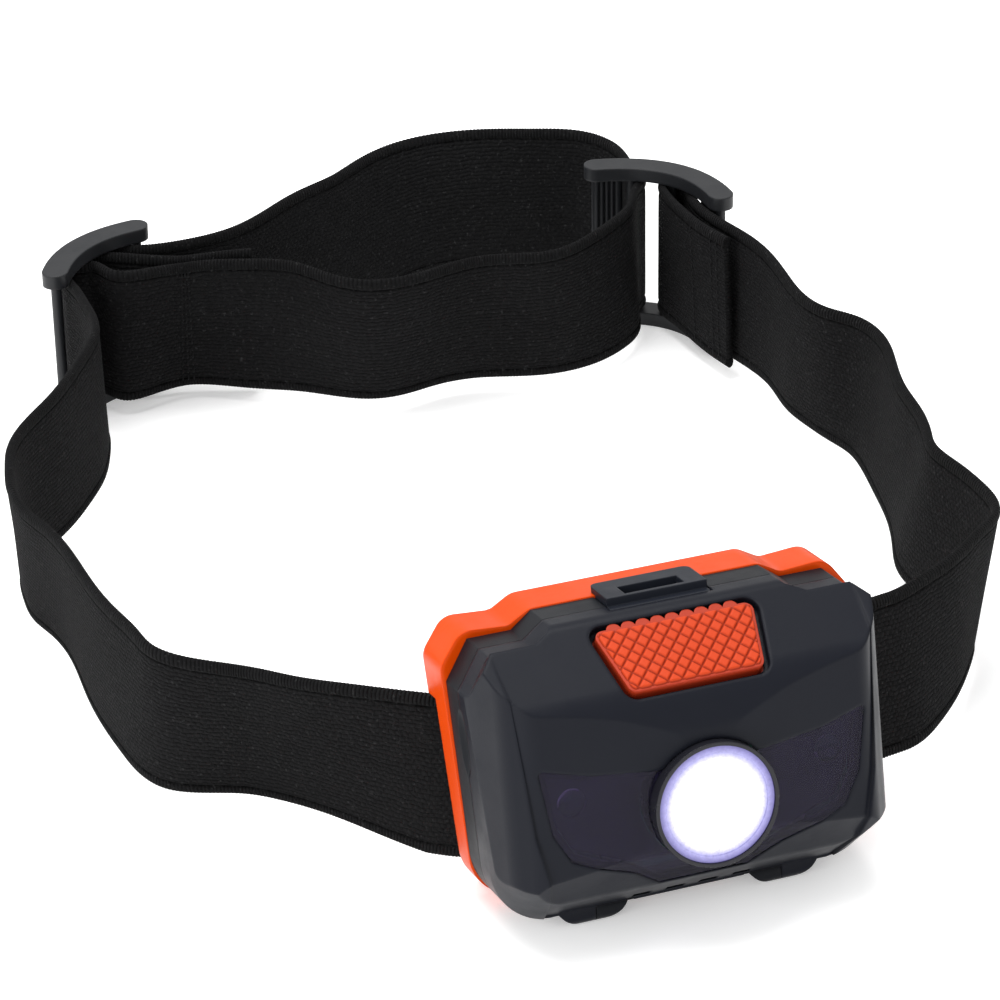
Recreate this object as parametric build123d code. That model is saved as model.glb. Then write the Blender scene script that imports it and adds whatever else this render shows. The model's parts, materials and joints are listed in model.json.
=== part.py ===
from build123d import *
from math import atan2, cos, hypot, radians, sin
import os

# Headlamp on a 25 mm head strap. Millimetres.
# Row frame: -Y is the way the light shines, +X is to the right of someone facing the lamp, +Z is up. The
# hinge knuckles and both buckles stand on Z = 0, under the middle of the overall footprint.
# Drawing frame: the row frame's axes, with Y = 0 just behind the bracket and X = 0 at the lamp's middle.
# Lamp frame: the drawing frame's axes before the lamp leans back by LAMP_TILT.

MIDDLE = (2.964, 76.744)

# Driving dimensions of the strap and its buckles
STRAP_WIDTH = 25.0
STRAP_THICKNESS = 1.5
STRAP_BASE = 2.6
LEAN_SCALE = 10.0
RAIL_HEIGHT = 2.4
BAR_RADIUS = 0.9
RAIL_DEPTH = 4.4
WRAP_RADIUS = BAR_RADIUS + STRAP_THICKNESS / 2 + 0.15

# Driving dimensions of the lamp
LAMP_TILT = 12.0
HALF_WIDTH = 29.9
TOP = 37.8
SHOULDER = 35.5
BOTTOM = -4.2
CORNER = 9.0
BRACKET_REAR = -4.3
BRACKET_WALL = 2.0
BRACKET_BOTTOM = -3.0
PLATE_REAR = -10.2
PLATE_FRONT = -12.2
BAR_INNER = 17.0
BAR_OUTER = 20.5
COVER_REAR = -12.3
COVER_BACK = 1.4
PART_LINE = -17.1
SHELL_WALL = 2.0
LIP_GAP = 0.8
LIP = 0.8
LIP_FRONT = -18.8
SEAL = (0.8, 1.5)
SEAL_DEPTH = 0.5
LATCH_SEAT = 0.5
FRONT = -33.6
SLOPE_TOP = -20.6
FOOT = (-21.0, BOTTOM)
FOOT_RISE = (-27.4, 0.2)
PANEL_LEAN = 1.3
WINDOW_INSET = 0.1
WINDOW_THICKNESS = 0.8

# Hinges
KNUCKLE = 1.6
PIN = 0.7
PLAY = 0.05
HOUSING_PIN = (-19.0, -4.9)
TILT_PIN = (-14.0, -2.9)
COVER_KNUCKLE = (8.4, 13.9)
SHELL_KNUCKLE = (14.0, 20.2)
BRACKET_LUG = (3.0, 7.0)
HINGE_PINS = (10.8, 17.8)
LOBE_HEIGHT = 14.0
LOBE_CORNER = 5.0
LATCH_PIN = (-17.95, 37.0)
LATCH_PIN_RADIUS = 0.35
LATCH_BARREL = 0.7
LATCH_HALF = 7.4
LATCH_TOP = 38.9

# Cells and what carries the light
CELL_DIAMETER = 10.5
CELL_LENGTH = 44.5
CELL_Y = -19.3
CELL_HEIGHTS = [5.2 + 10.55 * n for n in range(3)]
END_WALL = 24.7
CARRIER = (-24.9, -25.9)
BOARD = (-26.1, -27.1)
BEZEL = (-28.2, -28.8)
BEZEL_POSTS = ((20.5, 18.3), (18.0, 9.5))
LENS_HEIGHT = 13.0
LENS_RADIUS = 8.4
LENS_FRONT = -34.2
SIDE_LIGHT = (18.9, 15.4)

# Button on the sloping top face
SLOPE = 36.7
BUTTON_CENTRE = (-26.6, 33.25)
BUTTON_TOP = 23.6
BUTTON_FOOT = 19.4
BUTTON_LENGTH = 10.6
BUTTON_TRAVEL = 0.8

LIFT = HOUSING_PIN[0] * sin(radians(LAMP_TILT)) - HOUSING_PIN[1] * cos(radians(LAMP_TILT)) + KNUCKLE
LAMP_PLACE = Location((0, 0, LIFT), (-LAMP_TILT, 0, 0))
SCREW_PLACES = [(x, z) for x in (-13.5, 13.5) for z in (6.5, 23.5)]

os.makedirs("parts", exist_ok=True)


def save(shape, node):
    shape = Pos(-MIDDLE[0], -MIDDLE[1], 0) * shape
    shape.label = node
    export_step(shape, f"parts/{node}.step")


def save_lamp(shape, node):
    """A piece drawn in the lamp frame, leant back with the lamp."""
    save(LAMP_PLACE * shape, node)


# Outlines and prisms


def mirrored(half):
    """A closed outline from its right-hand half, listed from the top down."""
    return Polygon(*half, *[(-x, z) for x, z in reversed(half)], align=None)


def inset(sketch, distance):
    return offset(sketch, -distance, kind=Kind.INTERSECTION) if distance else sketch


def prism(sketch, rear, front):
    """A front-view outline, swept along Y between two depths."""
    return extrude(Plane.XZ.offset(-rear) * sketch, amount=rear - front, dir=(0, -1, 0))


def side_prism(sketch, half):
    """A side-view outline in Y and Z, swept across the lamp."""
    return extrude(Plane.YZ * sketch, amount=half, both=True)


def box(x, y, z):
    """A box from pairs of limits."""
    lows, highs = zip(*[sorted(pair) for pair in (x, y, z)])
    size = [high - low for low, high in zip(lows, highs)]
    return Pos(*lows) * Box(*size, align=(Align.MIN, Align.MIN, Align.MIN))


def both_sides(shape):
    return shape + mirror(shape, Plane.YZ)


def rod(x, centre, radius):
    """A cylinder along X between two limits, at a (Y, Z) centre."""
    plane = Plane((x[0], *centre), z_dir=(1, 0, 0))
    return extrude(plane * Circle(radius), amount=x[1] - x[0])


def barrel(centre, y, radius):
    """A cylinder along Y between two depths, at an (X, Z) centre."""
    return prism(Pos(*centre) * Circle(radius), max(y), min(y))


def body_outline(distance=0.0):
    half = [(16.9, TOP), (20.0, SHOULDER), (26.4, SHOULDER), (HALF_WIDTH, 30.0), (28.6, BOTTOM)]
    shape = mirrored(half)
    shape = fillet(shape.vertices().sort_by(Axis.Y)[:2], CORNER)
    return inset(shape, distance)


def bracket_outline(distance=0.0):
    half = [(17.0, 37.95), (20.3, 36.1), (27.2, 36.6), (30.5, 32.0), (28.6, BRACKET_BOTTOM)]
    shape = mirrored(half)
    shape = fillet(shape.vertices().sort_by(Axis.Y)[:2], CORNER - 2.5)
    shape = fillet(shape.vertices().filter_by(lambda v: 20 < abs(v.X) < 21 and v.Y > 20), 2.0)
    shape = fillet(shape.vertices().filter_by(lambda v: abs(v.X) > 26 and v.Y > 20), 3.0)
    shape = fillet(shape.vertices().filter_by(lambda v: 16.9 < abs(v.X) < 17.1 and v.Y > 37), 3.0)
    return inset(shape, distance)


# The bracket that the strap passes through


def bracket():
    shape = prism(bracket_outline(), BRACKET_REAR, PLATE_FRONT)
    shape -= prism(bracket_outline(BRACKET_WALL), BRACKET_REAR, PLATE_REAR)
    # The side rims stand only in front of the strap, below the shoulders.
    shape -= both_sides(box((24, 35), (-7.4, 0), (-1.6, 25.9)))
    # Two upright bars hold the strap from behind.
    bars = box((BAR_INNER, BAR_OUTER), (-4.7, -2.6), (BRACKET_BOTTOM + 0.2, 35.6))
    shape += both_sides(fillet(bars.edges().filter_by(Axis.Z).sort_by(Axis.Y)[-2:], 0.8))
    # Lugs for the tilt pin reach forward under the cover.
    y, z = TILT_PIN
    lug = box(BRACKET_LUG, (PLATE_FRONT + 0.5, y), (z - 1.0, z + 1.5)) + rod(BRACKET_LUG, TILT_PIN, 1.5)
    shape += both_sides(lug)
    return shape - rod((-12, 12), TILT_PIN, PIN)


# The strap: one length of webbing, threaded through both buckles and the bracket


def around(centre, start, end, count, radius=WRAP_RADIUS):
    """Upright webbing turning about a buckle bar, by its directions in degrees."""
    step = (end - start) / (count - 1)
    turns = [radians(start + step * n) for n in range(count)]
    return [(centre[0] + radius * cos(a), centre[1] + radius * sin(a), 0) for a in turns]


def bowed_bar(first, last, bow, share):
    """A point on a buckle's bowed line, as a share of the way from its first bar to its last."""
    x, y = last[0] - first[0], last[1] - first[1]
    length = hypot(x, y)
    rise = bow * (1 - (2 * share - 1) ** 2)
    return (first[0] + share * x - rise * y / length, first[1] + share * y + rise * x / length)


SLIDER_ENDS = ((-44.8, 148.0), (-27.5, 160.5), 3.0)
RING_ENDS = ((54.2, 154.2), (69.6, 135.0), 5.0)
SLIDER_SHARES = (0.0, 0.5, 1.0)
RING_SHARES = (0.21, 0.5)
RING_PLATES = ((0.0, 0.12), (0.82, 1.0))
SLIDER_BARS = [bowed_bar(*SLIDER_ENDS, share) for share in SLIDER_SHARES]
RING_BARS = [bowed_bar(*RING_ENDS, share) for share in RING_SHARES]


def strap_route():
    """From the free tail to the sewn flap: X and Y of the lower edge and the upper edge's outward lean."""
    route = [(-10, 150.2, -2), (-16, 152.2, -4), (-22, 154.0, -6), (-30, 155.2, 0)]
    route += around(SLIDER_BARS[1], 70, 290, 6)
    # Inner layer across the back of the loop
    route += [(-33.8, 150.8, 2), (-29.2, 150.9, 5), (-22, 152.2, 8), (-12.5, 147, 2), (-4.8, 142.7, 2)]
    route += [(1, 138.5, 8), (6, 135.7, 11), (11, 135.2, 11), (17.5, 136.4, 10.5), (25, 136.3, 8.5)]
    route += [(31, 134.5, 7.5), (37.2, 132.9, 6.5), (44.8, 133.4, 0), (51.7, 136.8, -3), (57, 142.2, -3)]
    route += around(RING_BARS[0], -60, 40, 4)
    # Outer layer, bulging backward
    route += [(61.7, 157, 0), (61.7, 162, 2), (60.8, 167, 4), (57.3, 172, 7), (50, 174.4, 13)]
    route += [(41, 176.9, 18), (31, 177.3, 19), (23, 174.0, 17), (15, 169.4, 13), (5, 165.9, 7)]
    route += [(-3, 161, 5), (-11, 157.5, 3), (-17, 156.9, 1), (-23, 157.1, 0), (-28, 158, 0)]
    route += [(-33, 160.3, 0)]
    route += around(SLIDER_BARS[1], 105, 165, 3, WRAP_RADIUS + STRAP_THICKNESS + 0.25)
    # Left side, from the slider to the bracket
    route += [(-42.2, 152.5, 0), (-41.3, 146.5, 1), (-40.4, 141.3, 3), (-42.3, 131, 1), (-44.7, 124.4, 3)]
    route += [(-48.3, 118.5, 3), (-55.8, 109, 1), (-62, 102.3, 0), (-65.3, 96, 1), (-66.4, 89.5, 3)]
    route += [(-66.4, 83.5, 6), (-65.3, 79.5, 9), (-63.9, 71, 8.5), (-64.6, 58, 3), (-64.8, 49, 1)]
    route += [(-64.2, 41.3, 0), (-63.1, 34.8, 0), (-60.7, 30.2, 4), (-56.7, 27.6, 8), (-50.2, 24.7, 11)]
    route += [(-46.4, 21.6, 11), (-41.4, 16.1, 10), (-36.4, 8.5, 3), (-32, 1.8, -5)]
    # Through the bracket
    route += [(-26.4, -4.0, -12), (-20.5, -6.1, -12), (0, -6.1, -12), (20.5, -6.1, -12)]
    # Right side, from the bracket to the ring buckle
    route += [(26.6, -4.7, -12), (33, -2.6, -12), (39.4, -0.5, -11.5), (44.7, 1.1, -11), (50.1, 5.2, -7)]
    route += [(56.5, 11.8, -1), (61.6, 18.4, 3), (64.2, 23, 7), (65.0, 29.5, 8), (64.4, 36.5, 8)]
    route += [(64.0, 43, 7), (64.3, 48.4, 9), (66.6, 55.1, 8), (69.2, 62.8, 4), (71.4, 72.7, 4.5)]
    route += [(73.1, 81.2, 4.5), (73.4, 87.8, 1), (72.1, 92.9, -3), (70.8, 98.4, -3.5), (69.9, 104.6, -1)]
    route += [(70.7, 114.9, -1), (69.6, 123.5, 0), (67.9, 130.5, 0), (66.9, 137, 0), (67.2, 142.5, 0)]
    route += around(RING_BARS[1], 0, 180, 5)
    # The flap sewn back inside
    route += [(64.3, 143, 2), (64.9, 137, 3), (65.4, 131.5, 3), (66.9, 123.6, 2)]
    return route


def strap_base(y):
    """The height of the lower edge, which rises a little where the bracket holds it."""
    slot = LIFT + (0.3 - y * sin(radians(LAMP_TILT))) * cos(radians(LAMP_TILT))
    return max(STRAP_BASE, slot) if y > -4 else slot


def strap_section(point, tangent):
    """The webbing's cross-section where its lower edge passes a point in plan."""
    out = Vector(tangent.Y, -tangent.X, 0).normalized()
    lean = radians(point.Z * LEAN_SCALE)
    up = out * sin(lean) + Vector(0, 0, cos(lean))
    across = (out * cos(lean) - Vector(0, 0, sin(lean))) * (STRAP_THICKNESS / 2)
    foot = Vector(point.X, point.Y, strap_base(point.Y))
    head = foot + up * STRAP_WIDTH
    return Wire.make_polygon([foot - across, foot + across, head + across, head - across], close=True)


def head_strap():
    line = Spline(*[(x, y, lean / LEAN_SCALE) for x, y, lean in strap_route()])
    sections, last = [], None
    steps = int(line.length / 0.5)
    for n in range(steps + 1):
        point, tangent = line @ (n / steps), line % (n / steps)
        turned = last is None or tangent.get_angle(last[1]) > 10 or (point - last[0]).length > 6
        if turned or n == steps:
            sections.append(strap_section(point, tangent))
            last = (point, tangent)
    return Solid.make_loft(sections, ruled=True)


# Buckles


def bowed_band(ends, start, finish, width):
    """A rounded band along a stretch of a buckle's bowed line, in plan."""
    points = [bowed_bar(*ends, start + (finish - start) * n / 8) for n in range(9)]
    band = trace(Spline(*points), line_width=width)
    return band + [Pos(*end) * Circle(width / 2) for end in (points[0], points[-1])]


def buckle(ends, bars, plates=()):
    """Upright bars and plates between two bowed rails."""
    reach = STRAP_BASE + STRAP_WIDTH + 0.2
    rail = bowed_band(ends, 0, 1, RAIL_DEPTH)
    shape = extrude(rail, amount=RAIL_HEIGHT)
    shape += Pos(0, 0, reach) * extrude(rail, amount=RAIL_HEIGHT)
    for bar in bars:
        shape += Pos(*bar, RAIL_HEIGHT / 2) * extrude(Circle(BAR_RADIUS), amount=reach)
    for plate in plates:
        shape += Pos(0, 0, RAIL_HEIGHT / 2) * extrude(bowed_band(ends, *plate, 2 * BAR_RADIUS), amount=reach)
    return shape


def grip_grooves(ends, plate, count):
    """Upright grooves on the inner side of a buckle's end plate."""
    shape = Part()
    for n in range(count):
        x, y = bowed_bar(*ends, plate[0] + (plate[1] - plate[0]) * n / (count - 1))
        lean = atan2(ends[1][1] - ends[0][1], ends[1][0] - ends[0][0])
        spot = Pos(x + BAR_RADIUS * sin(lean), y - BAR_RADIUS * cos(lean), RAIL_HEIGHT + 0.6)
        shape += spot * extrude(Circle(0.25), amount=STRAP_WIDTH - 0.8)
    return shape


# The front shell's body: a rounded nose with a sloping top


def nose(distance=0.0):
    """The nose inside the shell's outer surface, set in by a distance; its rear end is open-ended."""
    side = [(-8, TOP), (SLOPE_TOP, TOP), (-31.9, 29.4), (-33.4, 24.5), (FRONT, LENS_HEIGHT), (-32.6, 7.0)]
    side = Polygon(*side, FOOT_RISE, FOOT, (-8, BOTTOM), align=None)
    corners = side.vertices().filter_by(lambda v: v.X < -10)
    side = fillet(corners.sort_by(Axis.X)[-2:], 3.0)
    side = fillet(side.vertices().filter_by(lambda v: v.X < -24 and v.Y > 20), 8.0)
    side = fillet(side.vertices().filter_by(lambda v: v.X < -24 and v.Y < 20), 4.0)
    plan = [(HALF_WIDTH, -8), (HALF_WIDTH, -20.0), (27.6, -27.5), (24.6, -31.0), (0, FRONT - 0.4)]
    plan = Polygon(*plan, *[(-x, y) for x, y in reversed(plan[:-1])], align=None)
    plan = fillet(plan.vertices().filter_by(lambda v: abs(v.X) > 27 and v.Y < -10), 6.0)
    plan = fillet(plan.vertices().filter_by(lambda v: 24 < abs(v.X) < 25 and v.Y < -30), 4.0)
    plan = fillet(plan.vertices().sort_by(Axis.Y)[:1], 60)
    shape = prism(body_outline(distance), PART_LINE - PLAY, FOOT[0])
    # The bottom corners are carried forward along the rising foot.
    rising = Vector(0, FOOT_RISE[0] - FOOT[0], FOOT_RISE[1] - FOOT[1]).normalized()
    shape += extrude(Plane.XZ.offset(-FOOT[0]) * body_outline(distance), amount=24, dir=rising)
    shape &= side_prism(inset(side, distance), 40)
    return shape & extrude(Plane.XY.offset(-20) * inset(plan, distance), amount=80, dir=(0, 0, 1))


def panel_nose(distance=0.0):
    """The nose leant in about its top edge, so that the panel sinks in more and more toward the foot."""
    hinge = Pos(0, SLOPE_TOP, TOP)
    return hinge * Rot(X=PANEL_LEAN) * Pos(0, -SLOPE_TOP, -TOP) * nose(distance)


def panel_outline():
    """The face between the two side rails, narrower at the foot."""
    return mirrored([(27.0, 45), (26.6, 34.5), (25.9, 25), (24.9, 12), (21.0, -8)])


def window_outline(distance=0.0):
    half = [(8.0, 19.0), (17.0, 19.8), (24.0, 21.6), (22.6, 12), (20.2, 7.6), (11, 3.6), (6.5, 0.2)]
    shape = mirrored(half)
    return inset(fillet(shape.vertices(), 0.6), distance)


def slope_plane(depth=0.0):
    """On the sloping top face, looking out along its normal, sunk by a depth."""
    out = Vector(0, -sin(radians(SLOPE)), cos(radians(SLOPE)))
    return Plane(Vector(0, *BUTTON_CENTRE) - out * depth, x_dir=(1, 0, 0), z_dir=out)


def button_outline(grow=0.0):
    half = [(BUTTON_TOP / 2, BUTTON_LENGTH / 2), (BUTTON_FOOT / 2, -BUTTON_LENGTH / 2)]
    shape = fillet(mirrored(half).vertices(), 1.2)
    return offset(shape, grow) if grow else shape


def slope_prism(sketch, depth, top):
    """An outline on the sloping face, from a depth below it up to a height above it."""
    return extrude(slope_plane(depth) * sketch, amount=depth + top, dir=slope_plane().z_dir)


def lobe():
    """The rounded front-view shape that a pair of hinge knuckles is trimmed to."""
    width = SHELL_KNUCKLE[1] - COVER_KNUCKLE[0]
    middle = Pos(COVER_KNUCKLE[0] + width / 2, HOUSING_PIN[1] - KNUCKLE + LOBE_HEIGHT / 2)
    return prism(middle * RectangleRounded(width, LOBE_HEIGHT, LOBE_CORNER), -12, -24)


def front_shell():
    shape = nose() - (prism(panel_outline(), SLOPE_TOP, -40) - panel_nose())
    shape -= nose(SHELL_WALL)
    # The window's seat and the opening behind it.
    shape -= prism(window_outline(), -24, -40) - panel_nose(WINDOW_INSET + WINDOW_THICKNESS)
    shape -= prism(window_outline(1.0), -24, -40)
    shape -= barrel((0, LENS_HEIGHT), (-24, -40), LENS_RADIUS + 0.7)
    # A notch in the rear edge for the latch's barrel, and the bore of its pin.
    notch = (-LATCH_HALF - 0.2, LATCH_HALF + 0.2)
    shape -= box(notch, (PART_LINE + 1, LATCH_PIN[0] - 0.85), (LATCH_PIN[1] - 0.75, TOP + 1))
    shape -= rod((-LATCH_HALF - 1.7, LATCH_HALF + 1.7), LATCH_PIN, LATCH_PIN_RADIUS)
    # The button's well, with a wider mouth.
    shape -= slope_prism(button_outline(0.25), 3.5, 3)
    shape -= slope_prism(button_outline(0.9), 1.5, 3)
    shape -= slope_prism(button_outline(0.95), 4.0, -2.0)
    # Drain slots along the foot.
    for x in (-7.5, -2.5, 2.5, 7.5):
        shape -= box((x - 1.4, x + 1.4), (-26, -18), (-3.4, -2.6))
    # Finger scoops behind the side rails.
    shape -= both_sides(Pos(HALF_WIDTH + 5.2, PART_LINE, 22) * scale(Sphere(6.5), by=(1, 0.5, 1.45)))
    # Room for the cover's knuckles, then the shell's own.
    shape -= both_sides(rod((COVER_KNUCKLE[0] - 0.15, SHELL_KNUCKLE[0]), HOUSING_PIN, KNUCKLE + 0.2))
    own = rod(SHELL_KNUCKLE, HOUSING_PIN, KNUCKLE)
    own += box(SHELL_KNUCKLE, (-20.6, PART_LINE - 0.3), (HOUSING_PIN[1], BOTTOM + 1.2))
    shape += both_sides(own & lobe())
    return shape - both_sides(rod((9, SHELL_KNUCKLE[1] + 1), HOUSING_PIN, PIN + PLAY))


def rear_cover():
    shape = prism(body_outline(), COVER_REAR, PART_LINE)
    shape -= prism(body_outline(SHELL_WALL + LIP_GAP + LIP), COVER_REAR - COVER_BACK, PART_LINE)
    lip = body_outline(SHELL_WALL + LIP_GAP) - body_outline(SHELL_WALL + LIP_GAP + LIP)
    shape += prism(lip, PART_LINE + 1, LIP_FRONT)
    # End walls of the cell cradle and two ribs between the cells.
    shape += both_sides(box((END_WALL, END_WALL + 1.1), (COVER_REAR - 1, -21.5), (2.2, 30.5)))
    for low, high in zip(CELL_HEIGHTS, CELL_HEIGHTS[1:]):
        shape += box((-18, 18), (COVER_REAR - 1, -15.4), ((low + high) / 2 - 0.6, (low + high) / 2 + 0.6))
    # Finger scoops that continue the shell's.
    shape -= both_sides(Pos(HALF_WIDTH + 5.2, PART_LINE, 22) * scale(Sphere(6.5), by=(1, 0.5, 1.45)))
    # The flat that the latch lies on.
    shape -= box((-7.6, 7.6), (COVER_REAR, PART_LINE), (TOP - LATCH_SEAT, TOP + 1))
    # The lower rear edge is cut back so that the cover can tilt.
    corner = Polygon((-13.5, BOTTOM), (COVER_REAR, BOTTOM), (COVER_REAR, BOTTOM + 1.2), align=None)
    shape -= side_prism(corner, 40)
    y, z = TILT_PIN
    room = (BRACKET_LUG[0] - 0.1, BRACKET_LUG[1] + 0.1)
    shape -= both_sides(rod(room, TILT_PIN, 1.6) + box(room, (y, COVER_REAR + 1), (BOTTOM - 1, z + 1.6)))
    shape -= both_sides(box(room, (y - 1.6, y), (BOTTOM - 1, z)))
    # Knuckles for the housing, reaching forward under the shell.
    arm = rod(COVER_KNUCKLE, HOUSING_PIN, KNUCKLE)
    arm += box(COVER_KNUCKLE, (HOUSING_PIN[0], -14.8), (BOTTOM - 1.4, BOTTOM - PLAY))
    arm += box(COVER_KNUCKLE, (PART_LINE + 0.2, -14.8), (BOTTOM - 0.5, BOTTOM + 1))
    shape += both_sides(arm & lobe())
    shape -= both_sides(rod(COVER_KNUCKLE, HOUSING_PIN, PIN))
    # The seal's groove.
    shape -= prism(body_outline(SEAL[0]) - body_outline(SEAL[1]), PART_LINE + SEAL_DEPTH, PART_LINE)
    return shape - rod((-12.5, 12.5), TILT_PIN, PIN + PLAY)


def latch():
    """The catch on top: a tab with a finger slot, hinged on a pin in the shell's rear edge."""
    low = TOP - LATCH_SEAT + PLAY
    across = (-LATCH_HALF, LATCH_HALF)
    shape = box(across, (-9.9, PART_LINE), (38.05, LATCH_TOP))
    shape += box(across, (-12.5, PART_LINE), (low, 38.5))
    shape = fillet(shape.edges().filter_by(Axis.Z).sort_by(Axis.Y)[-2:], 1.2)
    shape -= box((-4.4, 4.4), (-16.3, -13.2), (low, 40))
    shape += box(across, (PART_LINE + 0.1, LATCH_PIN[0]), (low, LATCH_PIN[1] + LATCH_BARREL))
    shape += rod(across, LATCH_PIN, LATCH_BARREL)
    return shape - rod((-LATCH_HALF - 1, LATCH_HALF + 1), LATCH_PIN, LATCH_PIN_RADIUS + PLAY)


def seal():
    """A flat ring in the groove of the cover's front rim, just touched by the shell."""
    ring = body_outline(SEAL[0] + PLAY) - body_outline(SEAL[1] - PLAY)
    return prism(ring, PART_LINE + SEAL_DEPTH - PLAY, PART_LINE - PLAY)


def window():
    shape = prism(window_outline(0.06), -24, -40) & panel_nose(WINDOW_INSET)
    shape -= panel_nose(WINDOW_INSET + WINDOW_THICKNESS - 0.02)
    return shape - barrel((0, LENS_HEIGHT), (-20, -40), LENS_RADIUS + 0.7)


def light_bezel():
    """The dark plate just behind the window, on four posts, with holes for the lights."""
    plate = prism(window_outline(1.3), *BEZEL) & nose(SHELL_WALL + 0.1)
    shape = plate - barrel((0, LENS_HEIGHT), BEZEL, LENS_RADIUS + 0.8)
    for x, z in BEZEL_POSTS:
        shape += both_sides(barrel((x, z), (BOARD[1], BEZEL[0]), 0.8))
    return shape - both_sides(barrel(SIDE_LIGHT, BEZEL, 2.1))


def lens_ring():
    """The collar that holds the main lens in the window."""
    shape = barrel((0, LENS_HEIGHT), (-28.4, LENS_FRONT - 0.3), LENS_RADIUS + 0.6)
    return shape - barrel((0, LENS_HEIGHT), (-28.4, LENS_FRONT - 0.3), LENS_RADIUS + PLAY)


def main_lens():
    """A stepped optic: a cone behind a face with shallow rings."""
    half = [(0, -28.9), (2.6, -28.9), (3.0, -28.5), (LENS_RADIUS, -32.4)]
    half += [(LENS_RADIUS, LENS_FRONT), (0, LENS_FRONT)]
    shape = revolve(Plane.XY * Polygon(*half, align=None), axis=Axis.Y)
    for radius in (3.2, 4.6, 6.0, 7.4):
        ring = Circle(radius + 0.12) - Circle(radius - 0.12)
        shape -= prism(ring, LENS_FRONT + 0.25, LENS_FRONT)
    return Pos(0, 0, LENS_HEIGHT) * shape


def side_light():
    """A 4 mm light with a domed top and a flange."""
    body = barrel(SIDE_LIGHT, (BOARD[1], -27.6), 2.2) + barrel(SIDE_LIGHT, (BOARD[1], -27.95), 1.9)
    dome = Pos(SIDE_LIGHT[0], -27.95, SIDE_LIGHT[1]) * Sphere(1.9)
    return body + (dome & barrel(SIDE_LIGHT, (-27.95, -30.0), 2.0))


def carrier():
    """The plate across the shell that the board is screwed to."""
    plate = prism(mirrored([(20.0, 27.0), (25.0, 24.0), (24.4, 6.5), (18.5, 0.6)]), *CARRIER)
    plate &= nose(SHELL_WALL + 0.1)
    for x, z in SCREW_PLACES:
        plate -= barrel((x, z), CARRIER, 0.8)
    return plate


def board():
    plate = prism(mirrored([(19.5, 26.0), (22.6, 22), (22.2, 9), (16.5, 3.0)]), *BOARD)
    plate &= nose(SHELL_WALL + 0.2)
    for x, z in SCREW_PLACES:
        plate -= barrel((x, z), BOARD, 0.8)
    return plate


def carrier_screws():
    shape = [barrel(place, (CARRIER[0], BOARD[1] - 0.1), 0.8) for place in SCREW_PLACES]
    shape += [barrel(place, (BOARD[1], BOARD[1] - 1.0), 1.6) for place in SCREW_PLACES]
    return Part() + shape


def driver_parts():
    coil = barrel((11.5, 14.0), (BOARD[1], BOARD[1] - 1.0), 1.7)
    chip = box((-13.6, -10.4), (BOARD[1], BOARD[1] - 0.9), (12.0, 15.4))
    shape = [coil, chip]
    for n in range(4):
        shape.append(box((-3.2 + 2 * n, -2.0 + 2 * n), (BOARD[1], BOARD[1] - 0.6), (24.0, 25.0)))
    return Part() + shape


def cell(height):
    half = CELL_LENGTH / 2
    side = 1 if CELL_HEIGHTS.index(height) % 2 else -1
    ends = sorted((side * (half - 1.0), -side * half))
    can = rod(ends, (CELL_Y, height), CELL_DIAMETER / 2)
    nub = sorted((side * half, side * (half - 1.2)))
    return can + rod(nub, (CELL_Y, height), 1.9)


def contact_springs():
    """A coil at each cell's flat end."""
    coils = []
    for n, height in enumerate(CELL_HEIGHTS):
        side = -1 if n % 2 else 1
        start = side * (CELL_LENGTH / 2 + 0.35)
        line = Helix(pitch=0.62, height=1.4, radius=3.0, center=(0, 0, 0), direction=(0, 0, 1))
        wire = sweep(Plane(line @ 0, z_dir=line % 0) * Circle(0.22), path=line)
        coils.append(Location((start, CELL_Y, height), (0, side * 90, 0)) * wire)
    return Part() + coils


def contact_plates():
    low, middle, high = CELL_HEIGHTS
    pairs = [(1, low, middle), (-1, middle, high), (-1, low, low), (1, high, high)]
    plates = []
    for side, bottom, top in pairs:
        x = (side * (END_WALL - 0.05), side * (END_WALL - 0.35))
        plates.append(box(x, (CELL_Y - 2.0, CELL_Y + 4.2), (bottom - 2.0, top + 3.6)))
    return Part() + plates


def button():
    shape = slope_prism(button_outline(), 2.4, 0)
    tooth = BUTTON_TOP / 11
    for n in range(11):
        x = -BUTTON_TOP / 2 + tooth * (n + 0.5)
        bump = Pos(x, BUTTON_LENGTH / 2 - 0.2) * Circle(tooth / 2)
        if abs(x) < BUTTON_TOP / 2 - 1.2:
            shape += slope_prism(bump, 0.65, -0.1)
    return shape + slope_prism(button_outline(0.7), 2.65, -2.05)


def switch():
    """A push switch on a small tilted pad under the button."""
    spot = Pos(0, -3.0)
    body = slope_prism(spot * Rectangle(5, 4), 5.1, -3.9)
    return body + slope_prism(spot * Circle(1.0), 3.9, -(2.65 + BUTTON_TRAVEL + 0.05))


save(head_strap(), "head_strap")
save(buckle(SLIDER_ENDS, SLIDER_BARS), "slider_buckle")
ring_buckle = buckle(RING_ENDS, RING_BARS, RING_PLATES) - grip_grooves(RING_ENDS, RING_PLATES[0], 5)
save(ring_buckle, "ring_buckle")
save_lamp(bracket(), "bracket")
save_lamp(rear_cover(), "rear_cover")
save_lamp(rod((-12.0, 12.0), TILT_PIN, PIN), "tilt_pin")
save_lamp(both_sides(rod(HINGE_PINS, HOUSING_PIN, PIN)), "housing_pins")
save_lamp(latch(), "latch")
save_lamp(rod((-LATCH_HALF - 1.6, LATCH_HALF + 1.6), LATCH_PIN, LATCH_PIN_RADIUS), "latch_pin")
save_lamp(seal(), "cover_seal")
save_lamp(front_shell(), "front_shell")
save_lamp(window(), "window")
save_lamp(light_bezel(), "light_bezel")
save_lamp(lens_ring(), "lens_ring")
save_lamp(main_lens(), "main_lens")
save_lamp(barrel((0, LENS_HEIGHT), (BOARD[1], BOARD[1] - 0.8), 5.0), "heat_spreader")
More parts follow.
